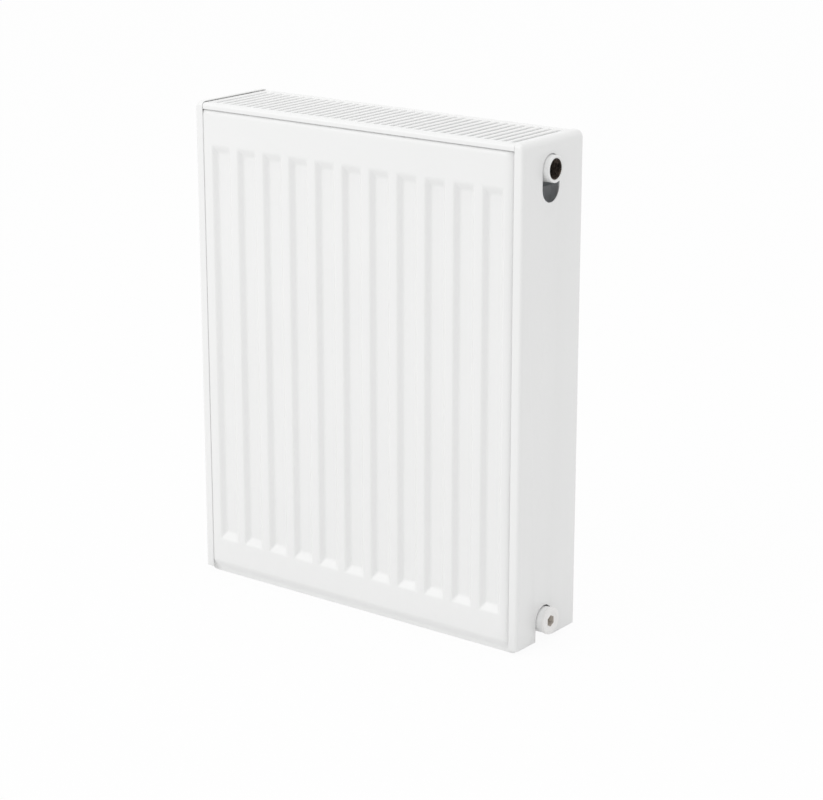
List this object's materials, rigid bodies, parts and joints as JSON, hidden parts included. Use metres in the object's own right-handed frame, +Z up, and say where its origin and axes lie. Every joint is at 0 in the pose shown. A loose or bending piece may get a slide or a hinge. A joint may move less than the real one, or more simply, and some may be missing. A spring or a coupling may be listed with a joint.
{
  "type": "panel radiator",
  "caption": "White pressed-steel panel radiator with fluted front, folded convector sheets between two panels, slotted top grille, side covers and threaded side ports.",
  "frame": {"origin": "middle of the bounding box's bottom face, on the surface it stands on", "axes": "+Z up, -Y out of the front face, +X to the right seen from the front"},
  "size_m": [0.4174, 0.1, 0.5],
  "materials": {
    "enamel": "satin-gloss white stove enamel",
    "enamel_inside": "white enamel, thinner coat between the panels",
    "plug_enamel": "white enamel on a steel plug",
    "nickel_plate": "nickel-plated brass, satin",
    "spring_steel": "zinc-plated spring steel",
    "seal_rubber": "matt black rubber"
  },
  "bodies": {
    "radiator": {"front_panel_outer_sheet": "enamel", "front_panel_inner_sheet": "enamel_inside", "rear_panel_inner_sheet": "enamel_inside", "rear_panel_outer_sheet": "enamel", "front_convector": "enamel_inside", "rear_convector": "enamel_inside", "top_right_connector": "enamel", "bottom_right_connector": "enamel", "top_left_connector": "enamel", "bottom_left_connector": "enamel", "blanking_plug": "plug_enamel", "blanking_plug_seal": "seal_rubber", "vent_plug": "nickel_plate", "vent_plug_seal": "seal_rubber", "upper_left_lug": "enamel", "upper_right_lug": "enamel", "lower_left_lug": "enamel", "lower_right_lug": "enamel"},
    "grille": {"top_grille": "enamel", "grille_clips": "spring_steel"},
    "left_cover": {"left_side_cover": "enamel", "left_cover_clips": "spring_steel"},
    "right_cover": {"right_side_cover": "enamel", "right_cover_clips": "spring_steel"},
    "bleed_screw": {"bleed_screw": "nickel_plate"}
  },
  "joints": [
    {"name": "grille_lift", "type": "slide", "parent": "radiator", "child": "grille", "axis": [0, 0, 1], "range_m": [0, 0.025]},
    {"name": "left_cover_lift", "type": "slide", "parent": "radiator", "child": "left_cover", "axis": [0, 0, 1], "range_m": [0, 0.0185]},
    {"name": "right_cover_lift", "type": "slide", "parent": "radiator", "child": "right_cover", "axis": [0, 0, 1], "range_m": [0, 0.0185]},
    {"name": "bleed_screw_turn", "type": "hinge", "parent": "radiator", "child": "bleed_screw", "pos_m": [-0.2055, -0.004, 0.471], "axis": [-1, 0, 0], "range_deg": [0, 360]}
  ]
}
